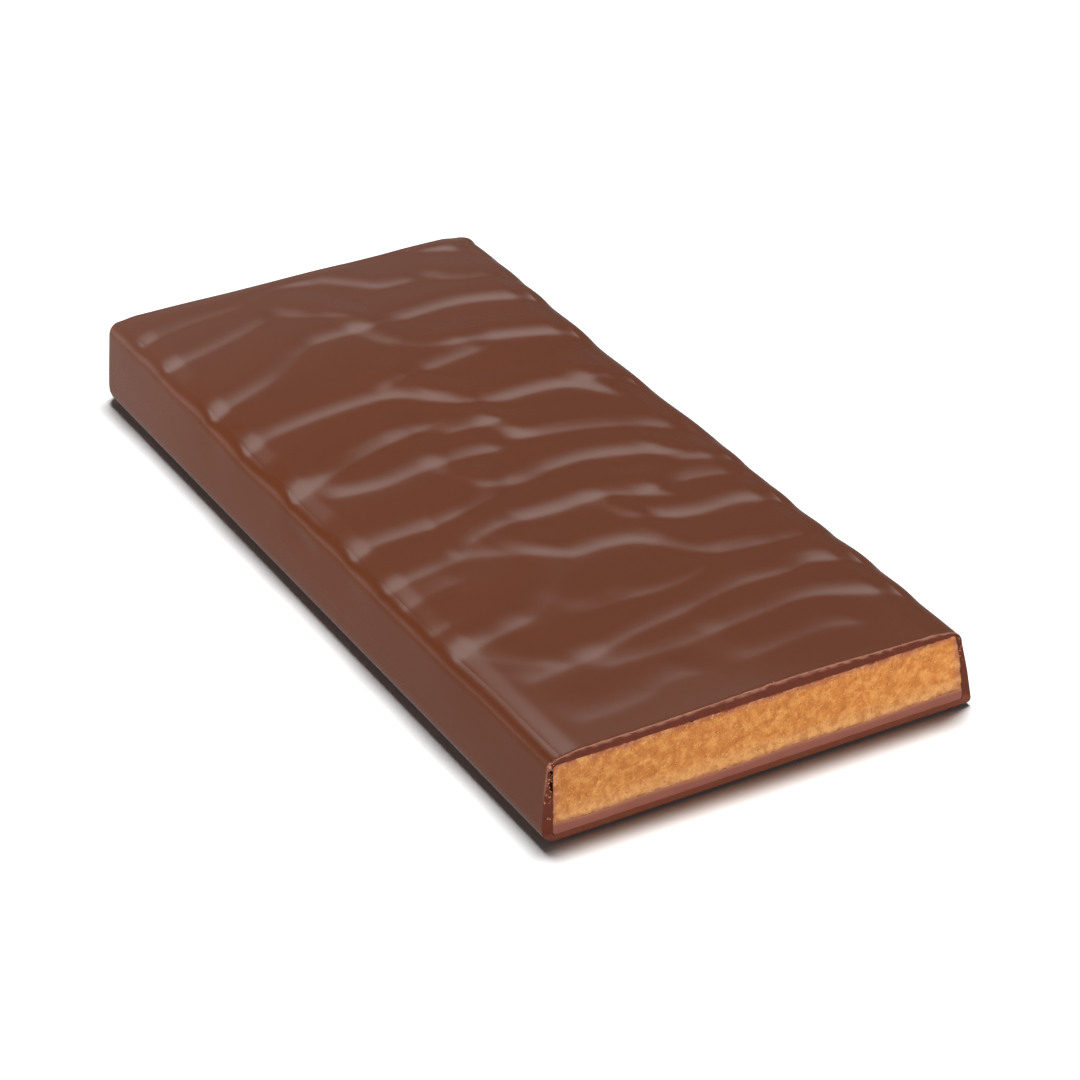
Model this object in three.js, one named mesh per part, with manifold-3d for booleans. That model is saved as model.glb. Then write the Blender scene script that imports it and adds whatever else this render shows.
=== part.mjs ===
// A flat chocolate bar with a soft filling, cut straight across at one end.
//
// A thin chocolate coat was poured over a pale slab and blown into ripples before it set. The cut
// shows three substances, and each is a closed body of its own: the coat, a thin base layer that
// lies on the floor of the coat, and the filling above it. Both inner layers run the whole length.
//
// Millimetres. X runs across the bar, Y along it with the cut face at the -Y end, and Z is up.
// The origin is the middle of the flat underside.

import * as THREE from "three";
import { mergeVertices } from "three/addons/utils/BufferGeometryUtils.js";
import Module from "manifold-3d";

// ---- Driving sizes ----

const WIDTH = 55; // across the foot
const LENGTH = 113.2; // from the cut face to the far foot
const HEIGHT = 10.45; // of the top between the ripples
const CORNERS = [2.6, 3.8]; // radii of the left and right far corners in plan, at the foot
const ROOM_CORNERS = [5, 5]; // the same for the room inside the coat

const COAT_FLOOR = 0.78; // chocolate under the base layer
const COAT_ROOF = 0.95; // chocolate over the filling
const COAT_END = 1.3; // chocolate at the far end
const SEAM = 2.05; // height of the seam between base layer and filling
const GAP = 0.25; // clearance that keeps neighbouring bodies apart

// The outer walls. Each leans in by `lean` from a foot rounded by `foot`, then turns over a
// shoulder `across` wide and `drop` deep. `start` is how far in from the foot's line it begins.
const OUTER = {
  left: { start: 0, foot: 2.2, lean: 0.6, bow: 0, across: 1.8, drop: 1.4 },
  far: { start: 0, foot: 2.2, lean: 0.4, bow: 0, across: 0.6, drop: 0.8 },
  right: { start: 0, foot: 0.7, lean: 1.75, bow: 0, across: 1.95, drop: 1.75 },
};

const SHOULDER_SLACK = 0.15; // share of a shoulder's drop by which its corner is eased

// The inner face of the coat, in the same words. The right wall bows, so it thickens upwards.
const INNER = {
  left: { start: 1.5, foot: 0.2, lean: 0, bow: 0, across: 0.5, drop: 0.5 },
  far: { start: COAT_END, foot: 0.2, lean: 0.5, bow: 0, across: 0.5, drop: 0.5 },
  right: { start: 1.35, foot: 0.2, lean: 1.35, bow: -0.45, across: 0.6, drop: 0.5 },
};

// The top falls away by `depth` over a strip beside each shoulder.
const FALL = {
  left: { depth: 0.28, wide: 2.6 },
  far: { depth: 0.1, wide: 2.5 },
  right: { depth: 0.27, wide: 2.4 },
};

// The bed of the ripples rises a little to the far end, sags in between, and is twisted down at
// the right corner of the cut end.
const TILT = 0.3;
const SAG = 0.45;
const SAG_NEARER = 0.8; // share by which the sag deepens towards the cut end
const TWIST = 0.22;

// The coat is fuller in the middle of the cut end.
const SWELL = { height: 0.42, x: 4, wide: 11, long: 13 };

// The seam waves a little from side to side, and climbs at the left wall.
const SEAM_WAVE = { height: 0.1, length: 19 };
const SEAM_CLIMB = { height: 0.38, wide: 2.6 };

// A ripple rises from a crease on its side towards the cut end, steeply at first and ever more
// slowly to its crest, and a long back slopes away.
const CREASE = 0.5; // over which the crease is softened
const CLIMB = 1.35; // length in which the face makes most of its height
const SET_BACK = 0.35; // of the middle of a ripple's face from its crease
const CREST = 1.9; // from the crease to where the back begins
const BACK = 7; // length of the back
const FADE = 3; // over which a ripple's ends die away at the crease
const FAN = 0.6; // by how much more they do so for each mm behind it
const CALM_END = 3; // length at the far end in which the ripples die away
const BOLD = 0.42; // heights of crests
const STRONG = 0.35;
const MIDDLE = 0.29;
const SOFT = 0.21;
const FAINT = 0.13;

// Each ripple's face passes through a few points: [x, distance from the cut face].
const RIPPLES = [
  [FAINT, [-20, 4.6], [-15, 4.7], [-10, 5.4]],
  [FAINT, [-10, 6.2], [-7, 6.7], [-4, 6]],
  [SOFT, [1, 6], [7, 6.6], [12, 7.2], [17, 6]],
  [SOFT, [-12.5, 12.5], [-10, 12.2], [-3.5, 11.9], [2, 12.4]],
  [STRONG, [1.5, 12.4], [8, 13.1], [14, 13.7], [20, 11.5], [27, 7.6]],
  [SOFT, [-21, 13.8], [-12, 14.8]],
  [STRONG, [-12, 14.8], [-6, 16.5], [1, 17.6]],
  [BOLD, [1, 17.6], [9, 19.4], [15, 19.2], [19.5, 19.8], [27, 15.2]],
  [FAINT, [-23, 20.5], [-19.5, 17], [-16, 14.5]],
  [STRONG, [-26, 22.1], [-20, 23.5], [-14, 25]],
  [SOFT, [-14, 25.2], [-9.5, 28.5], [-4, 34]],
  [SOFT, [-9, 23.4], [-3, 23.1]],
  [STRONG, [-3, 23.1], [3, 22.9], [9, 24.6]],
  [SOFT, [-27, 27.4], [-22.5, 28.1], [-19.5, 28.4]],
  [SOFT, [-27, 33.4], [-22, 34.9], [-16.5, 36.4]],
  [SOFT, [-15, 40.4], [-11, 38.9], [-9, 37.8]],
  [STRONG, [-8.5, 37.8], [-4, 34.6], [1, 34.4], [5, 33.1], [8.5, 28.4], [12, 26.6], [27, 24.6]],
  [STRONG, [6, 38.6], [10, 36.6], [14, 35.6], [20, 35.4], [27, 31.6]],
  [STRONG, [-27, 37.8], [-20, 39], [-15, 40.1], [-13.5, 41.2]],
  [BOLD, [-12.5, 42.4], [-8, 44], [0, 44.1], [6, 44.2], [10.5, 41.8], [14, 40]],
  [STRONG, [11, 42.3], [15, 42.8], [21, 41.7], [26, 38]],
  [BOLD, [18, 47.4], [22.5, 45.1], [27, 42.4]],
  [MIDDLE, [-27, 45.6], [-22, 47.6], [-15, 47.8]],
  [BOLD, [-15, 47.6], [-11, 48.5], [-6, 50], [-3.5, 51]],
  [STRONG, [-5, 52.6], [0, 51.7], [4, 52.8], [10, 52.7], [15, 51], [19, 48.4]],
  [FAINT, [-8, 58.5], [-6, 54.5], [-4, 52]],
  [STRONG, [-21, 59.4], [-15, 58.9], [-8, 60.1], [2, 59.7]],
  [STRONG, [3.5, 61.4], [6, 60.6], [14, 58.5], [20, 55.3], [24, 51.4], [27, 46.4]],
  [FAINT, [3, 64.5], [4.5, 62], [6.5, 60.6]],
  [BOLD, [-27, 60.8], [-19, 63.8], [-11, 67.1], [-4, 68.4]],
  [BOLD, [-3, 66], [1, 65.8], [5, 65.6]],
  [STRONG, [-27, 73.2], [-20, 76], [-6, 77.6], [-2.5, 76.2], [1.5, 72.4]],
  [BOLD, [1, 72.9], [2.5, 71.7], [6, 70.3], [14, 69.9], [17.5, 68.2], [21, 62.8]],
  [STRONG, [18.5, 69.2], [20.5, 69], [25, 65.2]],
  [STRONG, [-4, 79.4], [-1, 80.6], [5, 81.6], [12, 82.9]],
  [BOLD, [-27, 82.4], [-23.5, 84.2], [-15, 88.2], [-9, 92.8], [-7.5, 93.4]],
  [MIDDLE, [0, 92.4], [2.8, 88.4], [6, 86], [8, 85.4]],
  [BOLD, [8, 85.3], [12, 84.9], [18, 83.2], [22, 81.4], [27, 77]],
  [STRONG, [-7, 94], [-4, 94.3], [6, 94.4]],
  [BOLD, [6, 94.5], [14, 94.9], [20, 93.4], [27, 89.6]],
  [STRONG, [-6.5, 102.4], [-3.5, 100.4], [1.5, 97.4]],
  [STRONG, [-27, 96.6], [-21, 98], [-14, 100.4], [-8, 102.8]],
  [STRONG, [-27, 103.8], [-18, 106.2], [-10, 107]],
  [STRONG, [-10, 107.2], [-4, 109.6], [2, 108.6]],
  [STRONG, [2, 108.6], [4.5, 106.5], [7.5, 103.8], [13.5, 103.1]],
  [BOLD, [15, 102.3], [18, 100.5], [22, 99.3], [27, 96.2]],
  [BOLD, [14, 111.2], [20, 109.2], [23.5, 106.4], [27, 102.6]],
];

// The walls are uneven: slow waves, a dimple under the left shoulder, and a bulge where each
// ripple runs off the top.
const WAVES = [
  { depth: 0.09, length: 41, shift: 0.6 },
  { depth: 0.06, length: 17, shift: 2.1 },
];
const DIMPLE = { depth: 0.22, y: 57, long: 3.4, z: 8, tall: 1.8 };
const RUN_OFF = 0.45; // share of a ripple's height that swells the wall below it
const CALM_BELOW = 3.5; // height under which the wall takes no part in the ripples

// How finely each body is divided.
const COAT_GRID = { along: 92, across: 22, arc: 3 };
const INNER_GRID = { along: 8, across: 20, arc: 2 };
const OUTER_STEPS = [3, 2, 4]; // in a profile's foot, wall and shoulder
const INNER_STEPS = [1, 4, 2];
const BEYOND = 1; // how far the pocket's cutter reaches past the cut face

const NEAR_Y = -LENGTH / 2;
const FAR_Y = LENGTH / 2;
const ROOF = HEIGHT - COAT_ROOF; // height of the coat's inner face

// ---- The relief of the coat ----

const smooth = (t) => {
  const s = THREE.MathUtils.clamp(t, 0, 1);
  return s * s * (3 - 2 * s);
};

// The height and slope at x of the smooth line through a ripple's points.
function lineAt(points, x) {
  const last = points.length - 1;
  const grade = (a, b) => (points[b][1] - points[a][1]) / (points[b][0] - points[a][0]);
  let k = 0;
  while (k < last - 1 && x > points[k + 1][0]) k++;
  const [x0, y0] = points[k];
  const [x1, y1] = points[k + 1];
  const g0 = grade(Math.max(k - 1, 0), k + 1);
  const g1 = grade(k, Math.min(k + 2, last));
  const span = x1 - x0;
  if (x < x0) return { y: y0 + g0 * (x - x0), slope: g0 };
  if (x > x1) return { y: y1 + g1 * (x - x1), slope: g1 };
  const t = (x - x0) / span;
  const rise = y1 - y0;
  const c = 3 * rise - (2 * g0 + g1) * span;
  const d = (g0 + g1) * span - 2 * rise;
  return {
    y: y0 + t * (g0 * span + t * (c + t * d)),
    slope: g0 + (t * (2 * c + 3 * d * t)) / span,
  };
}

// The ripples' height at a place on the top.
function ripples(x, y) {
  let sum = 0;
  for (const [height, ...points] of RIPPLES) {
    const line = lineAt(points, x);
    const away = (y - NEAR_Y - line.y) / Math.hypot(1, line.slope) + SET_BACK;
    const fade = FADE + FAN * Math.max(away, 0);
    const [fromLeft, fromRight] = [x - points[0][0], points.at(-1)[0] - x];
    const ends = smooth(fromLeft / fade + 0.5) * smooth(fromRight / fade + 0.5);
    const rise = 1 - Math.exp(-(away + Math.hypot(away, CREASE)) / (2 * CLIMB));
    const back = 1 - smooth((away - CREST) / BACK);
    sum += height * ends * rise * back;
  }
  return sum * smooth((FAR_Y - y) / CALM_END);
}

// How far the top has fallen at a distance from the foot's line of one side.
function fall(side, distance) {
  const { lean, across } = OUTER[side];
  const { depth, wide } = FALL[side];
  return depth * smooth(1 - (distance - lean - across) / wide);
}

// How far the top stands above its plain height.
function relief(x, y) {
  const bell = ((x - SWELL.x) / SWELL.wide) ** 2 + ((y - NEAR_Y) / SWELL.long) ** 2;
  const falls = fall("left", x + WIDTH / 2) + fall("right", WIDTH / 2 - x) + fall("far", FAR_Y - y);
  const along = y / FAR_Y;
  const sag = SAG * (1 - along ** 2) ** 2 * (1 - SAG_NEARER * along);
  const twist = TWIST * Math.max(-along, 0) * Math.max(x / (WIDTH / 2), 0);
  const bed = (TILT * (1 + along)) / 2 - sag - twist;
  return ripples(x, y) + SWELL.height * Math.exp(-bell) + bed - falls;
}

// How far a wall is pulled in at a place of its foot's line, apart from its profile.
function unevenness(x, y, z, share) {
  const wave = (w) => w.depth * (1 + Math.sin((2 * Math.PI * (x + y)) / w.length + w.shift));
  const waves = WAVES.reduce((sum, w) => sum + wave(w), 0);
  const bell = ((y - NEAR_Y - DIMPLE.y) / DIMPLE.long) ** 2 + ((z - DIMPLE.z) / DIMPLE.tall) ** 2;
  const dimple = x < 0 ? DIMPLE.depth * Math.exp(-bell) : 0;
  return dimple + share * (waves - RUN_OFF * ripples(x, y));
}

// How far the seam between base layer and filling stands above its plain height.
function seamWave(x) {
  const fromWall = x + WIDTH / 2 - INNER.left.start;
  const wave = SEAM_WAVE.height * Math.sin((2 * Math.PI * x) / SEAM_WAVE.length);
  return wave + SEAM_CLIMB.height * Math.exp(-((fromWall / SEAM_CLIMB.wide) ** 2));
}

// ---- Bodies ----

// One wall's profile from its foot to where the top begins, as [inset, height] pairs.
function wallProfile({ start, foot, lean, bow, across, drop }, floor, roof, steps) {
  const shoulder = roof - drop;
  const lower = (lean * foot) / (shoulder - floor);
  const path = new THREE.Path();
  path.moveTo(start + foot, floor);
  path.quadraticCurveTo(start, floor, start + lower, floor + foot);
  const belly = start + (lower + lean) / 2 + bow;
  path.quadraticCurveTo(belly, (floor + foot + shoulder) / 2, start + lean, shoulder);
  path.quadraticCurveTo(start + lean, roof - drop * SHOULDER_SLACK, start + lean + across, roof);
  return path.curves.flatMap((curve, i) => curve.getPoints(steps[i]).slice(i ? 1 : 0));
}

// The foot's line in plan, from the cut end up the left, round the far end and down the right.
// `turn` is 0 on the left wall, 1 on the far wall and 2 on the right wall.
function footLine(nearY, farY, corners, { along, across, arc }) {
  const half = WIDTH / 2;
  const stops = [];
  const wall = (turn, from, to, count) => {
    for (let i = 0; i < count; i++) {
      const at = from.clone().lerp(to, i / count);
      stops.push({ x: at.x, y: at.y, turn });
    }
  };
  const bend = (side, corner, fromTurn) => {
    for (let i = 0; i < 2 * arc; i++) {
      const turn = fromTurn + i / (2 * arc);
      const angle = Math.PI * (1 - turn / 2);
      stops.push({
        x: side * (half - corner) + corner * Math.cos(angle),
        y: farY - corner + corner * Math.sin(angle),
        turn,
      });
    }
  };
  const place = (x, y) => new THREE.Vector2(x, y);
  wall(0, place(-half, nearY), place(-half, farY - corners[0]), along);
  bend(-1, corners[0], 0);
  wall(1, place(corners[0] - half, farY), place(half - corners[1], farY), across);
  bend(1, corners[1], 1);
  wall(2, place(half, farY - corners[1]), place(half, nearY), along);
  stops.push({ x: half, y: nearY, turn: 2 });
  return stops;
}

// A slab with three shaped walls and a flat cut end, as one closed geometry.
// `profiles` are the left, far and right walls', `lift(x, y, z)` raises a place, and `pull(x, y, z)`
// moves a wall in. A flat underside is made of strips, and any other is a patch like the top.
function slab({ profiles, nearY, corners, grid, lift, pull, flat }) {
  const stops = footLine(nearY, FAR_Y, corners, grid);
  const ring = stops.length;
  const levels = profiles[0].length;
  const places = [];
  const put = (x, y, z) => places.push(new THREE.Vector3(x, y, z + lift(x, y, z))) - 1;
  for (let level = 0; level < levels; level++) {
    for (const { x, y, turn } of stops) {
      const side = Math.min(Math.floor(turn), 1);
      const at = profiles[side][level].clone().lerp(profiles[side + 1][level], smooth(turn - side));
      const angle = Math.PI * (1 - turn / 2);
      const inset = at.x + pull(x, y, at.y);
      put(x - Math.cos(angle) * inset, y === nearY ? nearY : y - Math.sin(angle) * inset, at.y);
    }
  }

  // A patch spreads between the left, far and right stretches of the ring at one level.
  const rows = grid.along + grid.arc;
  const columns = grid.across + 2 * grid.arc;
  const patch = (level) => {
    const height = profiles[0][level].y;
    const rim = (i) => places[level * ring + i];
    const share = (value, from, to) => (value - from) / (to - from);
    const inner = places.length;
    for (let v = 0; v < rows; v++) {
      const b = share(rim(v).y, rim(0).y, rim(rows).y);
      for (let u = 1; u < columns; u++) {
        const a = share(rim(rows + u).x, rim(rows).x, rim(rows + columns).x);
        const lie = (axis) =>
          (1 - a) * rim(v)[axis] +
          a * rim(ring - 1 - v)[axis] +
          b * (rim(rows + u)[axis] - (1 - a) * rim(rows)[axis] - a * rim(rows + columns)[axis]);
        put(lie("x"), v === 0 ? nearY : lie("y"), height);
      }
    }
    return (u, v) => {
      if (u === 0) return level * ring + v;
      if (u === columns) return level * ring + ring - 1 - v;
      if (v === rows) return level * ring + rows + u;
      return inner + v * (columns - 1) + u - 1;
    };
  };

  const faces = [];
  const quad = (a, b, c, d) => faces.push(a, b, c, a, c, d);
  for (let level = 0; level < levels - 1; level++) {
    for (let i = 0; i < ring - 1; i++) {
      const here = level * ring + i;
      quad(here, here + ring, here + ring + 1, here + 1);
    }
  }
  const top = patch(levels - 1);
  const under = flat ? null : patch(0);
  for (let v = 0; v < rows; v++) {
    for (let u = 0; u < columns; u++) {
      quad(top(u, v), top(u + 1, v), top(u + 1, v + 1), top(u, v + 1));
      if (under) quad(under(u, v), under(u, v + 1), under(u + 1, v + 1), under(u + 1, v));
    }
    if (flat) quad(v, v + 1, ring - 2 - v, ring - 1 - v);
  }
  if (flat) {
    for (let u = 1; u < columns; u++) faces.push(rows, rows + u, rows + u + 1);
  }

  // The cut end: a fan from its middle.
  const section = [];
  for (let level = levels - 1; level >= 0; level--) section.push(level * ring);
  if (under) {
    for (let u = 1; u < columns; u++) section.push(under(u, 0));
  }
  for (let level = 0; level < levels; level++) section.push(level * ring + ring - 1);
  for (let u = columns - 1; u > 0; u--) section.push(top(u, 0));
  const halfway = (profiles[0][0].y + profiles[0].at(-1).y) / 2;
  const middle = places.push(new THREE.Vector3(0, nearY, halfway)) - 1;
  section.forEach((here, i) => faces.push(middle, here, section[(i + 1) % section.length]));

  return new THREE.BufferGeometry().setFromPoints(places).setIndex(faces);
}

// ---- Cutting one body by another ----

const wasm = await Module();
wasm.setup();

function toSolid(geometry) {
  const bare = mergeVertices(geometry);
  return new wasm.Manifold(
    new wasm.Mesh({
      numProp: 3,
      vertProperties: new Float32Array(bare.attributes.position.array),
      triVerts: new Uint32Array(bare.index.array),
    }),
  );
}

function toGeometry(solid) {
  const { vertProperties, triVerts } = solid.getMesh();
  return new THREE.BufferGeometry()
    .setAttribute("position", new THREE.BufferAttribute(vertProperties, 3))
    .setIndex(new THREE.BufferAttribute(triVerts, 1));
}

// ---- The three bodies ----

const profilesOf = (walls, floor, roof, steps) =>
  [walls.left, walls.far, walls.right].map((wall) => wallProfile(wall, floor, roof, steps));

// The stretch of a profile between two heights.
function stretch(profile, floor, roof) {
  const at = (height) => {
    const k = Math.max(1, profile.findIndex((p) => p.y >= height));
    const share = (height - profile[k - 1].y) / (profile[k].y - profile[k - 1].y);
    return profile[k - 1].clone().lerp(profile[k], share);
  };
  return [at(floor), ...profile.filter((p) => p.y > floor && p.y < roof), at(roof)];
}

// The room inside the coat, kept back from it by `gap`, between two heights.
function roomProfiles(gap, floor, roof) {
  const walls = {};
  for (const [side, wall] of Object.entries(INNER)) {
    walls[side] = { ...wall, start: wall.start + gap };
  }
  const whole = profilesOf(walls, COAT_FLOOR + gap, ROOF - gap, INNER_STEPS);
  return whole.map((profile) => stretch(profile, floor, roof));
}

// An inner layer between two heights. `seamShare(z)` says how much of the seam's wave a height has.
function layer(floor, roof, seamShare) {
  return slab({
    profiles: roomProfiles(GAP, floor, roof),
    nearY: NEAR_Y,
    corners: ROOM_CORNERS,
    grid: INNER_GRID,
    lift: (x, y, z) => seamShare(z) * seamWave(x),
    pull: () => 0,
    flat: false,
  });
}

function coat() {
  const share = (z) => smooth((z - CALM_BELOW) / (HEIGHT - CALM_BELOW));
  const outside = slab({
    profiles: profilesOf(OUTER, 0, HEIGHT, OUTER_STEPS),
    nearY: NEAR_Y,
    corners: CORNERS,
    grid: COAT_GRID,
    lift: (x, y, z) => share(z) * relief(x, y),
    pull: (x, y, z) => unevenness(x, y, z, share(z)),
    flat: true,
  });
  const pocket = slab({
    profiles: roomProfiles(0, COAT_FLOOR, ROOF),
    nearY: NEAR_Y - BEYOND,
    corners: ROOM_CORNERS,
    grid: INNER_GRID,
    lift: () => 0,
    pull: () => 0,
    flat: true,
  });
  return toGeometry(toSolid(outside).subtract(toSolid(pocket)));
}

function baseLayer() {
  const floor = COAT_FLOOR + GAP;
  const roof = SEAM - GAP / 2;
  return layer(floor, roof, (z) => (z - floor) / (roof - floor));
}

function filling() {
  const floor = SEAM + GAP / 2;
  const roof = ROOF - GAP;
  return layer(floor, roof, (z) => (roof - z) / (roof - floor));
}

function named(name, geometry, colour, roughness) {
  geometry.computeVertexNormals();
  const material = new THREE.MeshStandardMaterial({ color: colour, roughness, metalness: 0 });
  const mesh = new THREE.Mesh(geometry, material);
  mesh.name = name;
  return mesh;
}

const bar = new THREE.Group();
bar.add(named("coat", coat(), 0x6d4034, 0.35));
bar.add(named("base_layer", baseLayer(), 0x92584a, 0.6));
bar.add(named("filling", filling(), 0xcf8549, 0.8));

export default bar;
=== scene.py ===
import math

import bpy
import numpy as np
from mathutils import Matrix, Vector, noise


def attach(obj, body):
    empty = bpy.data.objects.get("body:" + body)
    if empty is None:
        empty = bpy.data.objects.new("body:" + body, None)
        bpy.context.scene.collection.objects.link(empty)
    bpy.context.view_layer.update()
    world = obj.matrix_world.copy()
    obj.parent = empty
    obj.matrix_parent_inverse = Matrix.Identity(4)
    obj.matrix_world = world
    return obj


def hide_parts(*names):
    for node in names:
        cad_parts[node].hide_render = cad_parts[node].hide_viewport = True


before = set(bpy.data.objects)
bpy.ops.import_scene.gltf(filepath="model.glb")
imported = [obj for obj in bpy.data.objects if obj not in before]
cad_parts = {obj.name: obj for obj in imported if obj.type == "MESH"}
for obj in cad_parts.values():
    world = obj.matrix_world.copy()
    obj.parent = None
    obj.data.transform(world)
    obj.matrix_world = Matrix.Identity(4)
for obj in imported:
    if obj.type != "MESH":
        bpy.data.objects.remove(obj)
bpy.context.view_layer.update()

bl_info = {
    "name": "Cut Filled Chocolate Bar",
    "version": (1, 0, 0),
    "blender": (4, 5, 0),
    "location": "3D View > Sidebar > Bar",
    "description": "Makes a rippled, filled chocolate bar with a cut end, its crumbs and a studio",
    "category": "Add Mesh",
}

MM = 0.001

# ---- The bar's form, in millimetres, in the words that its solids were made from ----

WIDTH = 55.0
LENGTH = 113.2
HEIGHT = 10.45
CORNERS = (2.6, 3.8)
ROOM_CORNERS = (5, 5)
COAT_FLOOR = 0.78
COAT_ROOF = 0.95
COAT_END = 1.3
SEAM = 2.05
NEAR_Y = -LENGTH / 2
FAR_Y = LENGTH / 2
ROOF = HEIGHT - COAT_ROOF
SHOULDER_SLACK = 0.15

# Walls from left round to right: start, foot, lean, bow, across, drop.
OUTER = {
    "left": (0, 2.2, 0.6, 0, 1.8, 1.4),
    "far": (0, 2.2, 0.4, 0, 0.6, 0.8),
    "right": (0, 0.7, 1.75, 0, 1.95, 1.75),
}
INNER = {
    "left": (1.5, 0.2, 0, 0, 0.5, 0.5),
    "far": (COAT_END, 0.2, 0.5, 0, 0.5, 0.5),
    "right": (1.35, 0.2, 1.35, -0.45, 0.6, 0.5),
}
# How the top falls towards each wall: how deep, and how wide.
FALL = {"left": (0.28, 2.6), "far": (0.1, 2.5), "right": (0.27, 2.4)}
# The top sags, most in its near half, tilts up to the far end, twists down at the near right and
# swells at the cut.
SAG, SAG_NEARER, TILT, TWIST = 0.45, 0.8, 0.3, 0.22
SWELL_HEIGHT, SWELL_X, SWELL_WIDE, SWELL_LONG = 0.42, 4, 11, 13
# The seam waves across the bar and climbs at the left wall.
SEAM_WAVE, SEAM_WAVE_LENGTH = 0.1, 19
SEAM_CLIMB, SEAM_CLIMB_WIDE = 0.38, 2.6

# Across its line, a ripple climbs steeply out of a crease, crests and sinks slowly away from the cut.
# At its ends it fades, wider the farther from its line. The last stretch of the top is calm.
CREASE, CLIMB, SET_BACK, CREST, BACK = 0.5, 1.35, 0.35, 1.9, 7
FADE, FAN, CALM_END = 3, 0.6, 3
BOLD, STRONG, MIDDLE, SOFT, FAINT = 0.42, 0.35, 0.29, 0.21, 0.13
# Each ripple's height, and points of its line: across from the middle, and along from the cut.
RIPPLES = [
    (FAINT, (-20, 4.6), (-15, 4.7), (-10, 5.4)),
    (FAINT, (-10, 6.2), (-7, 6.7), (-4, 6)),
    (SOFT, (1, 6), (7, 6.6), (12, 7.2), (17, 6)),
    (SOFT, (-12.5, 12.5), (-10, 12.2), (-3.5, 11.9), (2, 12.4)),
    (STRONG, (1.5, 12.4), (8, 13.1), (14, 13.7), (20, 11.5), (27, 7.6)),
    (SOFT, (-21, 13.8), (-12, 14.8)),
    (STRONG, (-12, 14.8), (-6, 16.5), (1, 17.6)),
    (BOLD, (1, 17.6), (9, 19.4), (15, 19.2), (19.5, 19.8), (27, 15.2)),
    (FAINT, (-23, 20.5), (-19.5, 17), (-16, 14.5)),
    (STRONG, (-26, 22.1), (-20, 23.5), (-14, 25)),
    (SOFT, (-14, 25.2), (-9.5, 28.5), (-4, 34)),
    (SOFT, (-9, 23.4), (-3, 23.1)),
    (STRONG, (-3, 23.1), (3, 22.9), (9, 24.6)),
    (SOFT, (-27, 27.4), (-22.5, 28.1), (-19.5, 28.4)),
    (SOFT, (-27, 33.4), (-22, 34.9), (-16.5, 36.4)),
    (SOFT, (-15, 40.4), (-11, 38.9), (-9, 37.8)),
    (STRONG, (-8.5, 37.8), (-4, 34.6), (1, 34.4), (5, 33.1), (8.5, 28.4), (12, 26.6), (27, 24.6)),
    (STRONG, (6, 38.6), (10, 36.6), (14, 35.6), (20, 35.4), (27, 31.6)),
    (STRONG, (-27, 37.8), (-20, 39), (-15, 40.1), (-13.5, 41.2)),
    (BOLD, (-12.5, 42.4), (-8, 44), (0, 44.1), (6, 44.2), (10.5, 41.8), (14, 40)),
    (STRONG, (11, 42.3), (15, 42.8), (21, 41.7), (26, 38)),
    (BOLD, (18, 47.4), (22.5, 45.1), (27, 42.4)),
    (MIDDLE, (-27, 45.6), (-22, 47.6), (-15, 47.8)),
    (BOLD, (-15, 47.6), (-11, 48.5), (-6, 50), (-3.5, 51)),
    (STRONG, (-5, 52.6), (0, 51.7), (4, 52.8), (10, 52.7), (15, 51), (19, 48.4)),
    (FAINT, (-8, 58.5), (-6, 54.5), (-4, 52)),
    (STRONG, (-21, 59.4), (-15, 58.9), (-8, 60.1), (2, 59.7)),
    (STRONG, (3.5, 61.4), (6, 60.6), (14, 58.5), (20, 55.3), (24, 51.4), (27, 46.4)),
    (FAINT, (3, 64.5), (4.5, 62), (6.5, 60.6)),
    (BOLD, (-27, 60.8), (-19, 63.8), (-11, 67.1), (-4, 68.4)),
    (BOLD, (-3, 66), (1, 65.8), (5, 65.6)),
    (STRONG, (-27, 73.2), (-20, 76), (-6, 77.6), (-2.5, 76.2), (1.5, 72.4)),
    (BOLD, (1, 72.9), (2.5, 71.7), (6, 70.3), (14, 69.9), (17.5, 68.2), (21, 62.8)),
    (STRONG, (18.5, 69.2), (20.5, 69), (25, 65.2)),
    (STRONG, (-4, 79.4), (-1, 80.6), (5, 81.6), (12, 82.9)),
    (BOLD, (-27, 82.4), (-23.5, 84.2), (-15, 88.2), (-9, 92.8), (-7.5, 93.4)),
    (MIDDLE, (0, 92.4), (2.8, 88.4), (6, 86), (8, 85.4)),
    (BOLD, (8, 85.3), (12, 84.9), (18, 83.2), (22, 81.4), (27, 77)),
    (STRONG, (-7, 94), (-4, 94.3), (6, 94.4)),
    (BOLD, (6, 94.5), (14, 94.9), (20, 93.4), (27, 89.6)),
    (STRONG, (-6.5, 102.4), (-3.5, 100.4), (1.5, 97.4)),
    (STRONG, (-27, 96.6), (-21, 98), (-14, 100.4), (-8, 102.8)),
    (STRONG, (-27, 103.8), (-18, 106.2), (-10, 107)),
    (STRONG, (-10, 107.2), (-4, 109.6), (2, 108.6)),
    (STRONG, (2, 108.6), (4.5, 106.5), (7.5, 103.8), (13.5, 103.1)),
    (BOLD, (15, 102.3), (18, 100.5), (22, 99.3), (27, 96.2)),
    (BOLD, (14, 111.2), (20, 109.2), (23.5, 106.4), (27, 102.6)),
]
# The walls' waves: depth, length and start. Then the left wall's dimple.
WAVES = ((0.09, 41, 0.6), (0.06, 17, 2.1))
DIMPLE_DEPTH, DIMPLE_Y, DIMPLE_LONG, DIMPLE_Z, DIMPLE_TALL = 0.22, 57, 3.4, 8, 1.8
RUN_OFF = 0.45  # share of a ripple's height by which it also pushes the wall out
CALM_BELOW = 3.5  # height under which the walls are even


def smooth(t):
    s = np.clip(t, 0, 1)
    return s * s * (3 - 2 * s)


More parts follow.
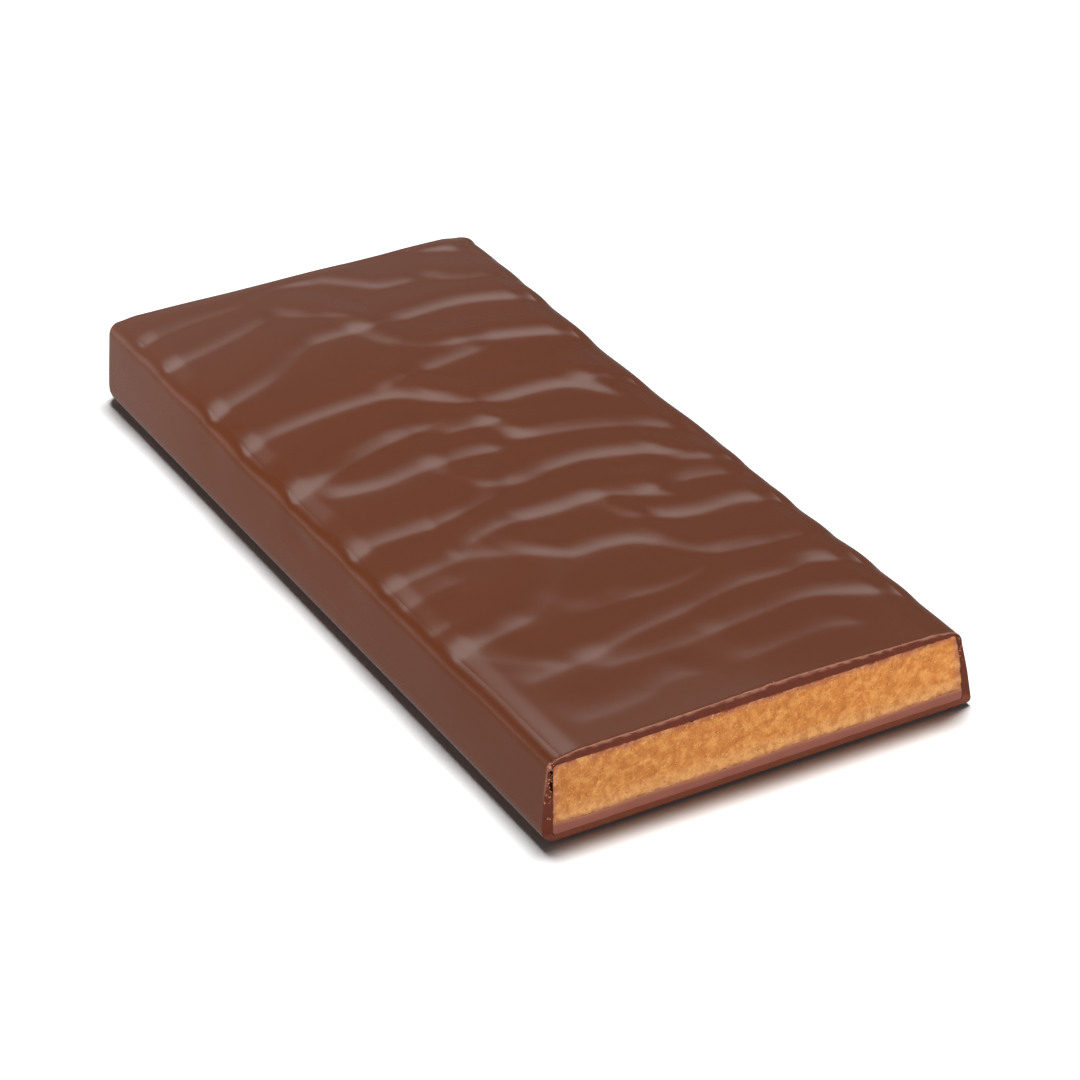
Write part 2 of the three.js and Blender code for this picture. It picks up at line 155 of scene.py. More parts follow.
def line_at(points, x):
    """The height and slope at x of the smooth line through a ripple's points."""
    xs, ys = np.array(points, float).T
    step = np.diff(ys) / np.diff(xs)
    grade = np.concatenate([[step[0]], (ys[2:] - ys[:-2]) / (xs[2:] - xs[:-2]), [step[-1]]])
    k = np.clip(np.searchsorted(xs, x) - 1, 0, len(xs) - 2)
    span = (xs[1:] - xs[:-1])[k]
    t = np.clip((x - xs[k]) / span, 0, 1)
    rise = (ys[1:] - ys[:-1])[k]
    g0, g1 = grade[k], grade[k + 1]
    c = 3 * rise - (2 * g0 + g1) * span
    d = (g0 + g1) * span - 2 * rise
    beyond = (x - xs[k]) - t * span
    slope = g0 + t * (2 * c + 3 * d * t) / span
    return ys[k] + t * (g0 * span + t * (c + t * d)) + beyond * slope, slope


def ripples(x, y):
    """The ripples' height at places on the top."""
    total = np.zeros_like(x)
    for height, *points in RIPPLES:
        line, slope = line_at(points, x)
        away = (y - NEAR_Y - line) / np.hypot(1, slope) + SET_BACK
        fade = FADE + FAN * np.maximum(away, 0)
        ends = smooth((x - points[0][0]) / fade + 0.5) * smooth((points[-1][0] - x) / fade + 0.5)
        rise = 1 - np.exp(-(away + np.hypot(away, CREASE)) / (2 * CLIMB))
        total += height * ends * rise * (1 - smooth((away - CREST) / BACK))
    return total * smooth((FAR_Y - y) / CALM_END)


def fall(side, distance):
    _, _, lean, _, across, _ = OUTER[side]
    depth, wide = FALL[side]
    return depth * smooth(1 - (distance - lean - across) / wide)


def relief(x, y):
    """How far the top stands above its plain height."""
    bell = ((x - SWELL_X) / SWELL_WIDE) ** 2 + ((y - NEAR_Y) / SWELL_LONG) ** 2
    falls = fall("left", x + WIDTH / 2) + fall("right", WIDTH / 2 - x) + fall("far", FAR_Y - y)
    along = y / FAR_Y
    sag = SAG * (1 - along**2) ** 2 * (1 - SAG_NEARER * along)
    twist = TWIST * np.maximum(-along, 0) * np.maximum(x / (WIDTH / 2), 0)
    bed = TILT * (1 + along) / 2 - sag - twist
    return ripples(x, y) + SWELL_HEIGHT * np.exp(-bell) + bed - falls


def unevenness(x, y, z, share):
    """How far a wall is pulled in at places of its foot's line, apart from its profile."""
    waves = sum(d * (1 + np.sin(2 * np.pi * (x + y) / length + s)) for d, length, s in WAVES)
    bell = ((y - NEAR_Y - DIMPLE_Y) / DIMPLE_LONG) ** 2 + ((z - DIMPLE_Z) / DIMPLE_TALL) ** 2
    dimple = np.where(x < 0, DIMPLE_DEPTH * np.exp(-bell), 0)
    return dimple + share * (waves - RUN_OFF * ripples(x, y))


def seam_wave(x):
    """How far the seam between base layer and filling stands above its plain height."""
    from_wall = x + WIDTH / 2 - INNER["left"][0]
    wave = SEAM_WAVE * np.sin(2 * np.pi * x / SEAM_WAVE_LENGTH)
    return wave + SEAM_CLIMB * np.exp(-((from_wall / SEAM_CLIMB_WIDE) ** 2))


# ---- Fine meshes of the same form ----


def bend(start, control, end, steps):
    """Points of a quadratic curve, without its first."""
    t = np.linspace(0, 1, steps + 1)[1:, None]
    start, control, end = (np.array(p, float) for p in (start, control, end))
    return (1 - t) ** 2 * start + 2 * t * (1 - t) * control + t * t * end


def wall_profile(wall, gap, floor, roof, steps):
    """One wall's profile from its foot to where the top begins, as [inset, height] rows."""
    start, foot, lean, bow, across, drop = wall
    start += gap
    shoulder = roof - drop
    lower = lean * foot / (shoulder - floor)
    first = (start + foot, floor)
    knee = (start + lower, floor + foot)
    neck = (start + lean, shoulder)
    belly = (start + (lower + lean) / 2 + bow, (floor + foot + shoulder) / 2)
    ease = (start + lean, roof - drop * SHOULDER_SLACK)
    parts = (
        np.array([first], float),
        bend(first, (start, floor), knee, steps[0]),
        bend(knee, belly, neck, steps[1]),
        bend(neck, ease, (start + lean + across, roof), steps[2]),
    )
    return np.concatenate(parts)


def foot_line(shares, across, arc, corners):
    """x, y and turn of the foot's line, from the cut end up the left and back down the right."""
    half = WIDTH / 2
    left, right = (NEAR_Y + shares * (LENGTH - corner) for corner in corners)
    turns = np.arange(2 * arc) / (2 * arc)
    stops = [(-half, y, 0) for y in left[:-1]]
    for side, first, corner in ((-1, 0, corners[0]), (1, 1, corners[1])):
        for turn in first + turns:
            angle = math.pi * (1 - turn / 2)
            x = side * (half - corner) + corner * math.cos(angle)
            stops.append((x, FAR_Y - corner + corner * math.sin(angle), turn))
        if side < 0:
            span = np.linspace(corners[0] - half, half - corners[1], across + 1)[:-1]
            stops.extend((x, FAR_Y, 1) for x in span)
    stops.extend((half, y, 2) for y in right[::-1])
    return np.array(stops, float).T


class Slab:
    """A slab with three shaped walls and an open cut end, as vertices in mm and faces."""

    def __init__(self, profiles, shares, across, arc, corners, lift, pull, flat):
        x, y, turn = foot_line(shares, across, arc, corners)
        side = np.minimum(turn.astype(int), 1)
        blend = smooth(turn - side)[:, None]
        angle = np.pi * (1 - turn / 2)
        near = NEAR_Y
        profiles = np.array(profiles)
        self.ring, self.levels = len(x), profiles.shape[1]
        self.rows, self.columns = len(shares) - 1 + arc, across + 2 * arc
        self.lift = lift
        self.blocks, self.count, self.faces = [], 0, []
        for level in range(self.levels):
            at = profiles[side, level] * (1 - blend) + profiles[side + 1, level] * blend
            inset = at[:, 0] + pull(x, y, at[:, 1])
            py = np.where(y == near, near, y - np.sin(angle) * inset)
            self.put(x - np.cos(angle) * inset, py, at[:, 1])
        for level in range(self.levels - 1):
            here = level * self.ring + np.arange(self.ring - 1)
            self.quads(here, here + self.ring, here + self.ring + 1, here + 1)
        self.top = self.patch(self.levels - 1, profiles[0, -1, 1], near)
        t = self.top
        self.quads(t[:-1, :-1], t[:-1, 1:], t[1:, 1:], t[1:, :-1])
        if flat:
            self.flat_underside(near)
        else:
            u = self.patch(0, profiles[0, 0, 1], near)
            self.quads(u[:-1, :-1], u[1:, :-1], u[1:, 1:], u[:-1, 1:])
            self.bottom = u[0]

    def put(self, x, y, z):
        self.blocks.append(np.stack([x, y, z + self.lift(x, y, z)], -1))
        first, self.count = self.count, self.count + len(x)
        return np.arange(first, self.count)

    def quads(self, a, b, c, d):
        self.faces.extend(np.stack([np.ravel(v) for v in (a, b, c, d)], -1).tolist())

    def patch(self, level, height, near):
        """Indices of a grid that spreads over one level's ring: rows along Y, columns along X."""
        rows, columns, ring = self.rows, self.columns, self.ring
        rim = self.blocks[level][:, :2]
        left, far, right = rim[: rows + 1], rim[rows : rows + columns + 1], rim[::-1][: rows + 1]
        b = ((left[:, 1] - left[0, 1]) / (left[-1, 1] - left[0, 1]))[:-1, None, None]
        a = ((far[:, 0] - far[0, 0]) / (far[-1, 0] - far[0, 0]))[None, 1:-1, None]
        ends = far[None, 1:-1] - (1 - a) * far[0] - a * far[-1]
        grid = (1 - a) * left[:-1, None] + a * right[:-1, None] + b * ends
        grid[0, :, 1] = near
        x, y = grid.reshape(-1, 2).T
        inner = self.put(x, y, np.full_like(x, height)).reshape(rows, columns - 1)
        first = level * ring
        made = np.empty((rows + 1, columns + 1), int)
        made[:-1, 1:-1] = inner
        made[:, 0] = first + np.arange(rows + 1)
        made[:, -1] = first + ring - 1 - np.arange(rows + 1)
        made[-1] = first + rows + np.arange(columns + 1)
        return made

    def flat_underside(self, near):
        """Strips from wall to wall, with a row of points along the cut edge."""
        rows, columns, last = self.rows, self.columns, self.ring - 1
        edge = self.blocks[0][[0, last], 0]
        x = np.linspace(*edge, columns + 1)[1:-1]
        self.blocks.append(np.stack([x, np.full_like(x, near), np.zeros_like(x)], -1))
        inner = np.arange(self.count, self.count + columns - 1)
        self.count += columns - 1
        self.bottom = np.concatenate([[0], inner, [last]])
        for a, b in zip(self.bottom[:-1], self.bottom[1:]):
            self.faces.append([1, int(b), int(a)])
        self.faces.append([1, last - 1, last])
        v = np.arange(1, rows)
        self.quads(v, v + 1, last - 1 - v, last - v)
        for u in range(1, columns):
            self.faces.append([rows, rows + u, rows + u + 1])

    def cut_loop(self):
        """The rim of the open end: up the left, over the top, down the right, back underneath."""
        up = np.arange(self.levels) * self.ring
        down = up[::-1] + self.ring - 1
        return np.concatenate([up, self.top[0, 1:-1], down, self.bottom[::-1][1:-1]])

    def vertices(self):
        return np.concatenate(self.blocks)


# How noise falls off with each octave, how much finer each is, and how many there are.
FALL_OFF, FINER, OCTAVES = 0.9, 2.1, 3
SHARP_FROM = math.radians(58)


def fractal(points, scale):
    """Smooth noise, about -1 to 1, at points in mm, with features of `scale` mm."""
    return np.array([noise.fractal(Vector(p) / scale, FALL_OFF, FINER, OCTAVES) for p in points])


def make_mesh(name, vertices, faces, marks=None):
    """A smooth-shaded object at the origin from vertices in mm, with named point attributes."""
    mesh = bpy.data.meshes.new(name)
    mesh.from_pydata((vertices * MM).tolist(), [], faces)
    mesh.polygons.foreach_set("use_smooth", np.ones(len(mesh.polygons), bool))
    for key, values in (marks or {}).items():
        mesh.attributes.new(key, "FLOAT", "POINT").data.foreach_set("value", values.astype(np.float32))
    mesh.update()
    if mesh.validate():
        raise RuntimeError(f"{name} had faulty faces")
    mesh.set_sharp_from_angle(angle=SHARP_FROM)
    piece = bpy.data.objects.new(name, mesh)
    bpy.context.scene.collection.objects.link(piece)
    return piece


def stand_in(piece, node):
    """Lets a finished piece stand for a solid of the frame."""
    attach(piece, "root")
    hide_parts(node)


# ---- Materials ----


def linear(code):
    """A hex sRGB colour as linear RGBA."""
    parts = [int(code[i : i + 2], 16) / 255 for i in (0, 2, 4)]
    return [c / 12.92 if c <= 0.04045 else ((c + 0.055) / 1.055) ** 2.4 for c in parts] + [1.0]


def add(tree, kind, inputs=None, **settings):
    """One node with its settings, and its inputs set or linked by name or number."""
    made = tree.nodes.new(kind)
    for key, value in settings.items():
        setattr(made, key, value)
    for key, value in (inputs or {}).items():
        if isinstance(value, bpy.types.NodeSocket):
            tree.links.new(value, made.inputs[key])
        else:
            made.inputs[key].default_value = value
    return made


def blank_material(name):
    made = bpy.data.materials.new(name)
    made.use_nodes = True
    made.node_tree.nodes.clear()
    return made, made.node_tree


def finish(tree, colour, roughness, height, deep, more, strength=1.0):
    """Ends a material: a surface of one colour and roughness, with relief `deep` metres deep."""
    bump = add(tree, "ShaderNodeBump", {"Height": height, "Strength": strength, "Distance": deep})
    surface = {"Base Color": colour, "Roughness": roughness, "Normal": bump.outputs[0], **more}
    shader = add(tree, "ShaderNodeBsdfPrincipled", surface)
    add(tree, "ShaderNodeOutputMaterial", {"Surface": shader.outputs[0]})


def milk_chocolate(colours):
    """Tempered milk chocolate, poured and set: satin, with slow shifts of brown from cocoa butter.
    Where it was cut it is duller, and its thin broken edges show paler."""
    made, tree = blank_material("tempered milk chocolate")
    place = add(tree, "ShaderNodeTexCoord").outputs["Object"]
    slow = add(tree, "ShaderNodeTexNoise", {"Vector": place, "Scale": 1 / (14 * MM), "Detail": 2})
    fine = add(tree, "ShaderNodeTexNoise", {"Vector": place, "Scale": 1 / (1.1 * MM), "Detail": 3})
    dust = add(tree, "ShaderNodeTexNoise", {"Vector": place, "Scale": 1 / (0.22 * MM), "Detail": 2})
    patch = add(
        tree, "ShaderNodeMix", {0: slow.outputs["Fac"], 6: list(colours.coat_deep), 7: list(colours.coat)},
        data_type="RGBA",
    )
    where = add(tree, "ShaderNodeSeparateXYZ", {0: place})
    # Greyer towards the far end: a painted sheen for the soft reflection of the light there.
    far = add(
        tree, "ShaderNodeMapRange", {0: where.outputs["Y"], 1: 18 * MM, 2: 56 * MM, 3: 0.0, 4: 0.8},
        interpolation_type="SMOOTHSTEP",
    )
    broken = add(tree, "ShaderNodeAttribute", attribute_name="broken").outputs["Fac"]
    pale = add(tree, "ShaderNodeAttribute", attribute_name="pale").outputs["Fac"]
    crumbly = add(
        tree, "ShaderNodeMix",
        {0: fine.outputs["Fac"], 6: list(colours.coat_cut_deep), 7: list(colours.coat_cut)},
        data_type="RGBA",
    )
    ground = patch.outputs[2]
    for much, tone in (
        (far.outputs[0], list(colours.coat_far)),
        (broken, crumbly.outputs[2]),
        (pale, list(colours.coat_edge)),
    ):
        ground = add(tree, "ShaderNodeMix", {0: much, 6: ground, 7: tone}, data_type="RGBA").outputs[2]
    satin = add(tree, "ShaderNodeMapRange", {0: fine.outputs["Fac"], 3: 0.22, 4: 0.27})
    rough = add(tree, "ShaderNodeMix", {0: broken, 2: satin.outputs[0], 3: 0.62})
    grain = add(tree, "ShaderNodeMath", {0: broken, 1: dust.outputs["Fac"]}, operation="MULTIPLY")
    height = add(
        tree, "ShaderNodeMath", {0: grain.outputs[0], 1: 12.0, 2: fine.outputs["Fac"]},
        operation="MULTIPLY_ADD",
    )
    gloss = {"IOR": 1.5, "Specular IOR Level": 0.5}
    finish(tree, ground, rough.outputs[0], height.outputs[0], 0.004 * MM, gloss)
    return made


def grainy_filling(colours):
    """Sugared caramel and nut paste, pressed and cut: dull, with grains of sugar and darker nut."""
    made, tree = blank_material("grainy caramel filling")
    place = add(tree, "ShaderNodeTexCoord").outputs["Object"]
    cloud = add(
        tree, "ShaderNodeTexNoise",
        {"Vector": place, "Scale": 1 / (1.2 * MM), "Detail": 2, "Distortion": 0.4},
    )
    grain = add(
        tree, "ShaderNodeTexNoise",
        {"Vector": place, "Scale": 1 / (0.34 * MM), "Detail": 2, "Roughness": 0.6, "Distortion": 0.6},
    )
    cell = add(tree, "ShaderNodeTexVoronoi", {"Vector": place, "Scale": 1 / (0.42 * MM)})
    where = add(tree, "ShaderNodeSeparateXYZ", {0: place})
    across = add(
        tree, "ShaderNodeMapRange", {0: where.outputs["X"], 1: -WIDTH / 2 * MM, 2: WIDTH / 2 * MM}
    )
    low = add(tree, "ShaderNodeMapRange", {0: where.outputs["Z"], 1: 4.4 * MM, 2: 2.6 * MM})
    rim = add(tree, "ShaderNodeAttribute", attribute_name="rim").outputs["Fac"]
    tinged = add(tree, "ShaderNodeMapRange", {0: rim, 1: 0.0, 2: 0.75}, interpolation_type="SMOOTHSTEP")
    dragged = add(tree, "ShaderNodeMapRange", {0: rim, 1: 0.84, 2: 0.96, 3: 0.0, 4: 0.85})
    seam = add(tree, "ShaderNodeAttribute", attribute_name="seam").outputs["Fac"]
    ground = list(colours.filling_left)
    for much, tone in (
        (across.outputs[0], colours.filling),
        (low.outputs[0], colours.filling_low),
        (tinged.outputs[0], colours.filling_rim),
        (seam, colours.seam),
        (dragged.outputs[0], colours.coat_cut),
    ):
        layer = {0: much, 6: ground, 7: list(tone)}
        ground = add(tree, "ShaderNodeMix", layer, data_type="RGBA").outputs[2]
    for source, start, end, most, tone in (
        (cloud, 0.52, 0.30, 0.55, colours.filling_deep),
        (cloud, 0.50, 0.72, 0.55, colours.filling_light),
        (grain, 0.46, 0.25, 0.55, colours.filling_deep),
        (grain, 0.55, 0.75, 0.6, colours.filling_light),
    ):
        much = add(
            tree, "ShaderNodeMapRange", {0: source.outputs["Fac"], 1: start, 2: end, 3: 0.0, 4: most}
        )
        layer = {0: much.outputs[0], 6: ground, 7: list(tone)}
        ground = add(tree, "ShaderNodeMix", layer, data_type="RGBA").outputs[2]
    mound = add(
        tree, "ShaderNodeMath", {0: cell.outputs["Distance"], 1: -0.6, 2: grain.outputs["Fac"]},
        operation="MULTIPLY_ADD",
    )
    finish(tree, ground, 0.5, mound.outputs[0], 0.06 * MM, {"IOR": 1.45, "Specular IOR Level": 0.25})
    return made


def dense_base(colours):
    """A pale chocolate paste, rolled thin and cut clean: close and waxy, without grains."""
    made, tree = blank_material("pale chocolate paste")
    place = add(tree, "ShaderNodeTexCoord").outputs["Object"]
    cloud = add(tree, "ShaderNodeTexNoise", {"Vector": place, "Scale": 1 / (3.5 * MM), "Detail": 3})
    fine = add(tree, "ShaderNodeTexNoise", {"Vector": place, "Scale": 1 / (0.3 * MM), "Detail": 3})
    mixed = add(
        tree, "ShaderNodeMix",
        {0: cloud.outputs["Fac"], 6: list(colours.base_deep), 7: list(colours.base)}, data_type="RGBA",
    )
    seam = add(tree, "ShaderNodeAttribute", attribute_name="seam").outputs["Fac"]
    smeared = add(
        tree, "ShaderNodeMix", {0: seam, 6: mixed.outputs[2], 7: list(colours.seam)}, data_type="RGBA"
    )
    finish(tree, smeared.outputs[2], 0.5, fine.outputs["Fac"], 0.03 * MM, {"IOR": 1.46}, strength=0.5)
    return made


def crumb_material(name, deep, light):
    """Broken bits, paler than the piece they came off because they scatter light at many edges."""
    made, tree = blank_material(name)
    place = add(tree, "ShaderNodeTexCoord").outputs["Object"]
    spots = add(tree, "ShaderNodeTexNoise", {"Vector": place, "Scale": 1 / (0.35 * MM), "Detail": 2})
    ramp = add(tree, "ShaderNodeMapRange", {0: spots.outputs["Fac"], 1: 0.35, 2: 0.65})
    mixed = add(
        tree, "ShaderNodeMix", {0: ramp.outputs[0], 6: list(deep), 7: list(light)}, data_type="RGBA"
    )
    finish(tree, mixed.outputs[2], 0.55, spots.outputs["Fac"], 0.05 * MM, {"IOR": 1.5}, strength=0.6)
    return made


# ---- What a user may change ----


class BarColours(bpy.types.PropertyGroup):
    """Colours of the bar's substances."""


class BarSizes(bpy.types.PropertyGroup):
    """Sizes of the crumbs, burrs and grains, and the seed that scatters them."""


COLOURS = {
    "coat": ("Coat", "Tempered chocolate of the coat", "5C2E18"),
    "coat_deep": ("Coat, deep", "Richer patches of the coat", "582C17"),
    # The far end's coat colour is a painted sheen: greyer, for the soft reflection of the light there.
    "coat_far": ("Coat at the far end", "Chocolate with more cocoa butter at its skin", "5D3A2E"),
    "coat_cut": ("Cut coat", "Chocolate where the knife went through", "6A2B12"),
    "coat_cut_deep": ("Cut coat, deep", "Hollows of the cut chocolate", "561F0C"),
    "coat_edge": ("Broken edge", "Thin broken chocolate along the cut", "A06A52"),
    "filling": ("Filling", "Caramel filling at the right", "C47B38"),
    "filling_left": ("Filling, left", "Caramel filling at the left", "B47238"),
    "filling_low": ("Filling, low", "Paler filling above the base layer", "CC935B"),
    "filling_deep": ("Filling, deep", "Pits and darker grains", "A05C25"),
    "filling_light": ("Filling, light", "Pale grains", "D8A05A"),
    "filling_rim": ("Filling rim", "Filling stained where it meets the coat", "A3624A"),
    "seam": ("Seam", "Filling and base layer smeared into each other by the knife", "A46B4C"),
    "base": ("Base layer", "Pale chocolate paste", "8E5647"),
    "base_deep": ("Base layer, deep", "Deeper streaks of the paste", "844B3E"),
    "crumb": ("Crumb", "Crumbs of chocolate and caramel at the corners", "C98A68"),
    "sugar": ("Sugar", "Sugar grains in the filling", "E9B57C"),
}
for key, (label, text, code) in COLOURS.items():
    BarColours.__annotations__[key] = bpy.props.FloatVectorProperty(
        name=label, description=text, default=linear(code), size=4, subtype="COLOR", min=0, max=1
    )

LENGTHS = {
    "burr": ("Burr", "Width of the bits along the cut edge", 0.20),
    "crumb": ("Crumb", "Width of the crumbs at the corners", 0.34),
    "grain": ("Grain", "Width of the sugar grains in the filling", 0.15),
}
for key, (label, text, value) in LENGTHS.items():
    BarSizes.__annotations__[key] = bpy.props.FloatProperty(
        name=label, description=text, default=value * MM, unit="LENGTH", subtype="DISTANCE"
    )
BarSizes.__annotations__["seed"] = bpy.props.IntProperty(
    name="Seed", description="Seed of everything scattered", default=7, min=0
)

# ---- The pieces ----

# How fine the meshes are. A wall's steps run along its foot, its face and its shoulder.
OUTER_STEPS = (5, 20, 9)
INNER_STEPS = (1, 12, 6)
ARC = 7
ACROSS = 104
TOP_STEP = 0.32
CUT_ROWS = (0, 0.07, 0.15, 0.24, 0.34, 0.46, 0.62, 0.84)
RINGS = 11
FACE_COLUMNS = 300
SIDES = ("left", "far", "right")
FIT = 0.015  # what keeps touching pieces from sharing a face

# The raised burr along the cut's top edge.
LIP_REACH, LIP_BACK, LIP_WIDE = 0.8, 0.1, 0.17
LIP_HEIGHT, LIP_UNEVEN, LIP_LUMP, LIP_LEAST = 0.10, 0.07, 1.3, 0.02
LIP_FROM = (9, 1.4)

# Where the cut is rough, as the place where that begins and the stretch over which it grows. The
# crevice's place inwards is a share of the way from the rim to the filling.
CRUMBLED_X, CRUMBLED_LOW, CRUMBLED_HIGH = (-25.2, 0.7), (5.4, 1.2), (9.9, 0.8)
TORN_X, TORN_Z = (23.5, 1.5), (5.0, 1.5)
CREVICE_LOW, CREVICE_HIGH, CREVICE_IN, CREVICE_DEPTH = (6.2, 0.6), (9.3, 0.5), (0.45, 0.4), 0.55
# How deep its relief is where it is clean, more where it crumbled and tore, and in its finest grain.
CLEAN, CRUMBLED, TORN, FINEST = 0.03, 0.22, 0.10, 0.015

# How far back from the cut the coat's skin is broken, and how far its edge shows pale.
SKIN_REACH, BROKEN_CLEAN, BROKEN_CRUMBLED, BROKEN_TORN = 1.6, 0.16, 0.5, 0.3
PALE_EDGE, PALE_CRUMBLED, PALE_FROM, PALE_FACE_FROM = 0.30, 0.35, (8.2, 1.2), (9.6, 0.6)
PALE_RINGS, PALE_FIRST, PALE_LESS = 3, 0.9, 0.3
LOW_BAND, LOW_BAND_PALE = 1.0, 0.16  # the cut chocolate under the base layer


def above(value, edge):
    """0 up to an edge's beginning, 1 past its stretch, and smooth between."""
    begin, stretch = edge
    return smooth((value - begin) / stretch)


def below(value, edge):
    """1 under an edge's stretch, 0 from its beginning up, and smooth between."""
    begin, stretch = edge
    return smooth((begin - value) / stretch)


def outer_profiles():
    return [wall_profile(OUTER[side], 0, 0, HEIGHT, OUTER_STEPS) for side in SIDES]


def inner_profiles(gap, steps):
    floor, roof = COAT_FLOOR + gap, ROOF - gap
    return [wall_profile(INNER[side], gap, floor, roof, steps) for side in SIDES]


def coat_share(z):
    """How much of the top's form a wall's place takes on."""
    return smooth((z - CALM_BELOW) / (HEIGHT - CALM_BELOW))


def lip(x, y):
    """How high the burr along the cut's top edge stands."""
    away = y - NEAR_Y
    near = away < LIP_REACH
    made = np.zeros_like(x)
    spots = np.stack([x[near], np.zeros(near.sum()), np.zeros(near.sum())], -1)
    uneven = LIP_HEIGHT + LIP_UNEVEN * fractal(spots, LIP_LUMP)
    made[near] = np.clip(uneven, LIP_LEAST, None) * np.exp(-((away[near] - LIP_BACK) / LIP_WIDE) ** 2)
    return made


def coat_lift(x, y, z):
    return coat_share(z) * relief(x, y) + above(z, LIP_FROM) * lip(x, y)


def coat_pull(x, y, z):
    return unevenness(x, y, z, coat_share(z))


def flat_lift(x, y, z):
    return np.zeros_like(x)


def no_pull(x, y, z):
    return 0


def roughness(x, z):
    """How rough the cut coat is: the left wall crumbled, the right one tore a little."""
    left = below(x, CRUMBLED_X) * above(z, CRUMBLED_LOW) * below(z, CRUMBLED_HIGH)
    return left, above(x, TORN_X) * above(z, TORN_Z)


def crevice(z):
    """1 in the stretch of the left wall where the coat has come away from the filling."""
    return above(z, CREVICE_LOW) * below(z, CREVICE_HIGH)


def cut_points(rim, hole):
    """Rings of points across the cut chocolate, from its outer rim to the pocket, with relief."""
    steps = np.linspace(0, 1, RINGS + 1)[1:-1, None, None]
    points = ((1 - steps) * rim + steps * hole).reshape(-1, 3)
    left, right = roughness(points[:, 0], points[:, 2])
    rough = CLEAN + CRUMBLED * left + TORN * right
    depth = rough * fractal(points, 0.55) + FINEST * fractal(points, 0.2)
    inwards = np.repeat(steps.ravel(), len(rim))
    crack = left * above(inwards, CREVICE_IN) * smooth(crevice(points[:, 2])) * CREVICE_DEPTH
    points[:, 1] += depth + crack
    points[:, 0] += 0.5 * rough * left * fractal(points + 40, 0.5)
    return points


def coat_marks(vertices, skin, cut, count):
    """Marks where the coat is broken, and where its thin broken edges show pale. Its skin has the
    first `skin` vertices, and rings of `count` vertices across the cut begin at `cut`."""
    x, z = vertices[:, 0], vertices[:, 2]
    away = vertices[:, 1] - NEAR_Y
    index = np.arange(len(vertices))
    near = (away < SKIN_REACH) & (index < skin)
    left, right = roughness(x[near], z[near])
    reach = BROKEN_CLEAN + BROKEN_CRUMBLED * left + BROKEN_TORN * right
    broken = (index >= skin).astype(float)
    broken[near] = smooth(1 - away[near] / reach)

    pale = np.zeros(len(vertices))
    mottle = fractal(vertices[near], 0.5)
    edge = np.clip(smooth(1 - away[near] / PALE_EDGE) * (0.8 + 0.5 * mottle), 0, 1)
    crumbled = left * smooth(1 - away[near] / PALE_CRUMBLED) * (0.5 + 0.6 * mottle)
    pale[near] = np.maximum(edge * above(z[near], PALE_FROM), crumbled)
    for ring in range(PALE_RINGS):
        here = slice(cut + ring * count, cut + (ring + 1) * count)
        mottle = np.clip(0.5 + 1.5 * fractal(vertices[here], 0.9), 0, 1)
        pale[here] = above(z[here], PALE_FACE_FROM) * (PALE_FIRST - PALE_LESS * ring) * mottle
    pale[(index >= cut) & (z < LOW_BAND)] = LOW_BAND_PALE
    return {"broken": broken, "pale": np.clip(pale, 0, 1)}


def make_coat(context):
    straight = LENGTH - CORNERS[0]
    rest = np.arange(CUT_ROWS[-1] + TOP_STEP, straight, TOP_STEP)
    shares = np.concatenate([CUT_ROWS, rest[:-1], [straight]]) / straight
    shell = Slab(outer_profiles(), shares, ACROSS, ARC, CORNERS, coat_lift, coat_pull, True)
    pocket = Slab(
        inner_profiles(0, OUTER_STEPS), np.array([0, 0.5, 1]), ACROSS, ARC, ROOM_CORNERS,
        flat_lift, no_pull, False,
    )
    outer, inner = shell.vertices(), pocket.vertices()
    rim, hole = shell.cut_loop(), pocket.cut_loop()
    if len(rim) != len(hole):
        raise RuntimeError("the cut's rims don't match")

    skin, cut, count = len(outer), len(outer) + len(inner), len(rim)
    vertices = np.concatenate([outer, inner, cut_points(outer[rim], inner[hole])])
    loops = [rim, *(cut + ring * count + np.arange(count) for ring in range(RINGS - 1)), hole + skin]
    faces = shell.faces + [[corner + skin for corner in face[::-1]] for face in pocket.faces]
    for a, b in zip(loops[:-1], loops[1:]):
        faces += np.stack([a, np.roll(a, -1), np.roll(b, -1), b], -1).tolist()
    piece = make_mesh("chocolate_coat", vertices, faces, coat_marks(vertices, skin, cut, count))
    piece.data.materials.append(milk_chocolate(context.scene.bar_colours))
    stand_in(piece, "coat")


# Widths of the torn filling's grains, of its stained rim, and of the smear above and below the seam.
GRAIN = 0.62
RIM_WIDE = 0.95
RIM_STEPS = (1, 12, 4)
SEAM_ABOVE, SEAM_BELOW = 0.5, 0.42


